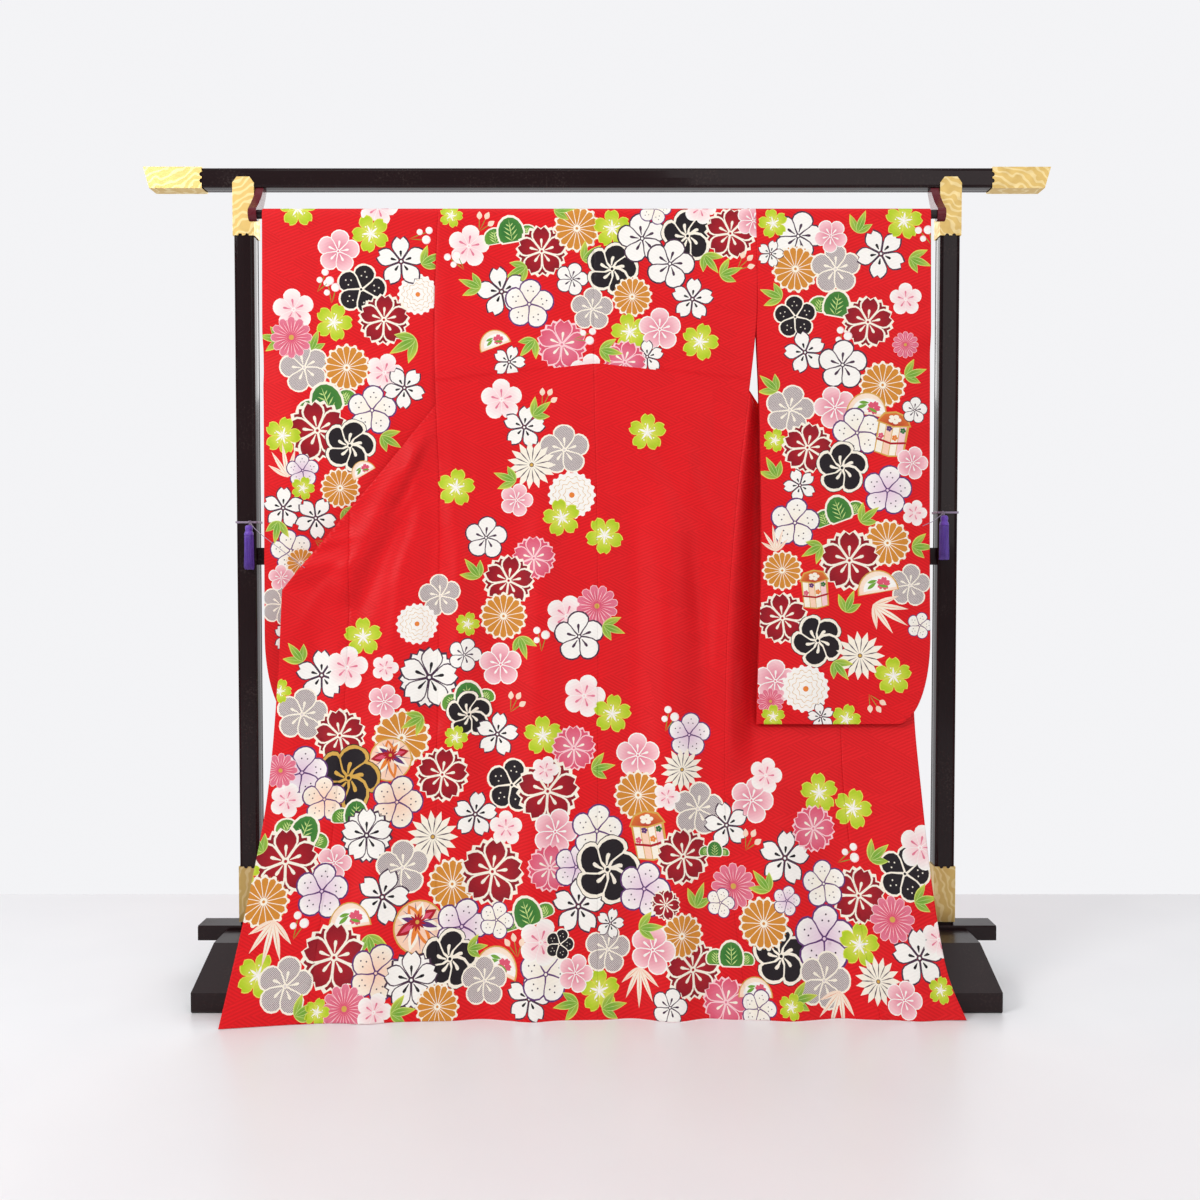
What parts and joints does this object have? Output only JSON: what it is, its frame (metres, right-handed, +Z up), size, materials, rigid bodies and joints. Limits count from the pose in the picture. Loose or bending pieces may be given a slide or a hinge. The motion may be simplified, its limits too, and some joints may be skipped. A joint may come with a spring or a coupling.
{
  "type": "furisode on kimono stand",
  "caption": "Red silk furisode with flower pattern, hung with its back to the viewer over the rod of a black lacquered kimono stand, long sleeves down and hem spread on the floor",
  "frame": {"origin": "on the floor under the middle of the whole part's box", "axes": "+Z up; +X to the viewer's right along the top bar; -Y towards the viewer, who sees the garment's back"},
  "size_m": [1.8388, 0.607, 1.6469],
  "materials": {
    "silk": "red figured silk crepe with dyed flowers, soft sheen",
    "lacquer": "black lacquer on wood, polished",
    "red_lacquer": "dark red-brown lacquer, polished",
    "gilt": "gilt sheet metal with a fine hammered ground",
    "tassel_silk": "violet silk strands",
    "thread": "grey-mauve twisted silk thread"
  },
  "bodies": {
    "root": {"back_left": "silk", "back_right": "silk", "front_left": "silk", "front_right": "silk", "front_left_upper": "silk", "front_right_upper": "silk", "okumi_left": "silk", "okumi_right": "silk", "sleeve_left_near": "silk", "sleeve_left_far": "silk", "sleeve_right_near": "silk", "sleeve_right_far": "silk", "collar_left": "silk", "collar_right": "silk", "collar_cover_left": "silk", "collar_cover_right": "silk", "foot_left": "lacquer", "foot_right": "lacquer", "plank": "lacquer", "post_left": "lacquer", "post_right": "lacquer", "mid_rail": "lacquer", "top_bar": "lacquer", "rod": "lacquer", "arm_left": "red_lacquer", "arm_right": "red_lacquer", "end_cap_left": "gilt", "end_cap_right": "gilt", "upper_fitting_left": "gilt", "upper_fitting_right": "gilt", "lower_fitting_left": "gilt", "lower_fitting_right": "gilt", "tassel_left": "tassel_silk", "tassel_right": "tassel_silk", "tie_band_left": "thread", "tie_band_right": "thread", "thread_left": "thread", "thread_right": "thread"}
  },
  "joints": []
}
